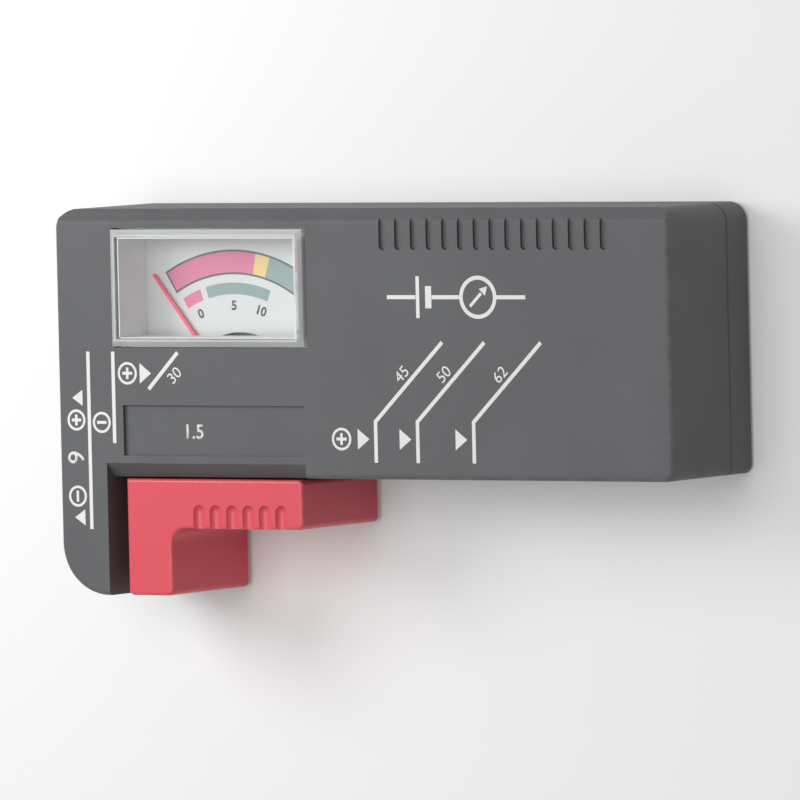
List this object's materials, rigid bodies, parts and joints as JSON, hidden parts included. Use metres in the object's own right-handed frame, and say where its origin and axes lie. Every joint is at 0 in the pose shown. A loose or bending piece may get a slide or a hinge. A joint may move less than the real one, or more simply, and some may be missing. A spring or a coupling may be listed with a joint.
{
  "type": "battery tester",
  "caption": "Flat inverted-L battery tester with a moving-coil meter, a sliding clamp arm for round cells and side contacts for square cells.",
  "frame": {"origin": "middle of the back face, which lies on the table", "axes": "+X to the right across the face, +Y to the top edge of the face, +Z out of the face"},
  "size_m": [0.11, 0.06, 0.0265],
  "materials": {
    "case_plastic": "fine spark texture",
    "red_plastic": "satin",
    "clear_plastic": "clear, polished",
    "white_plastic": "satin",
    "dial_paint": "satin print",
    "pointer_paint": "satin",
    "plated_strip": "nickel plated",
    "screw_steel": "zinc plated",
    "bearing_brass": "turned",
    "rail_brass": "rolled",
    "soft_iron": "plain",
    "magnet": "ground",
    "former_aluminium": "plain",
    "copper_wire": "enamelled",
    "spring_bronze": "rolled",
    "board_laminate": "paper laminate",
    "resistor_coat": "lacquered",
    "black_insulation": "smooth",
    "red_insulation": "smooth"
  },
  "bodies": {
    "case": {"front_shell": "case_plastic", "rear_shell": "case_plastic", "case_screws": "screw_steel", "negative_contact": "plated_strip", "nine_volt_positive_contact": "plated_strip", "nine_volt_negative_contact": "plated_strip", "positive_rail": "rail_brass", "meter_cover": "clear_plastic", "meter_case": "white_plastic", "meter_terminals": "bearing_brass", "dial_plate": "dial_paint", "dial_screws": "bearing_brass", "bridge_screws": "bearing_brass", "yoke_ring": "soft_iron", "core_magnet": "magnet", "core_spacers": "bearing_brass", "bearing_bridge": "former_aluminium", "front_bearing_screw": "bearing_brass", "rear_bearing_screw": "bearing_brass", "front_hairspring": "spring_bronze", "rear_hairspring": "spring_bronze", "circuit_board": "board_laminate", "board_screws": "screw_steel", "load_resistors": "resistor_coat", "negative_lead": "black_insulation", "nine_volt_lead": "red_insulation", "nine_volt_link": "black_insulation", "rail_lead": "red_insulation", "meter_leads": "red_insulation"},
    "arm": {"slider": "red_plastic", "slider_contact": "plated_strip"},
    "rotor": {"coil_winding": "copper_wire", "coil_former": "former_aluminium", "front_staff": "screw_steel", "rear_staff": "screw_steel", "pointer": "pointer_paint"}
  },
  "joints": [
    {"name": "slider_slide", "type": "slide", "parent": "case", "child": "arm", "axis": [1, 0, 0], "range_m": [0, 0.065]},
    {"name": "pointer_turn", "type": "hinge", "parent": "case", "child": "rotor", "pos_m": [-0.026, -0.0002, 0.015], "axis": [0, 0, -1], "range_deg": [0, 75], "stiffness_Nm_per_rad": 0.000008, "deforming": ["front_hairspring", "rear_hairspring"]}
  ]
}
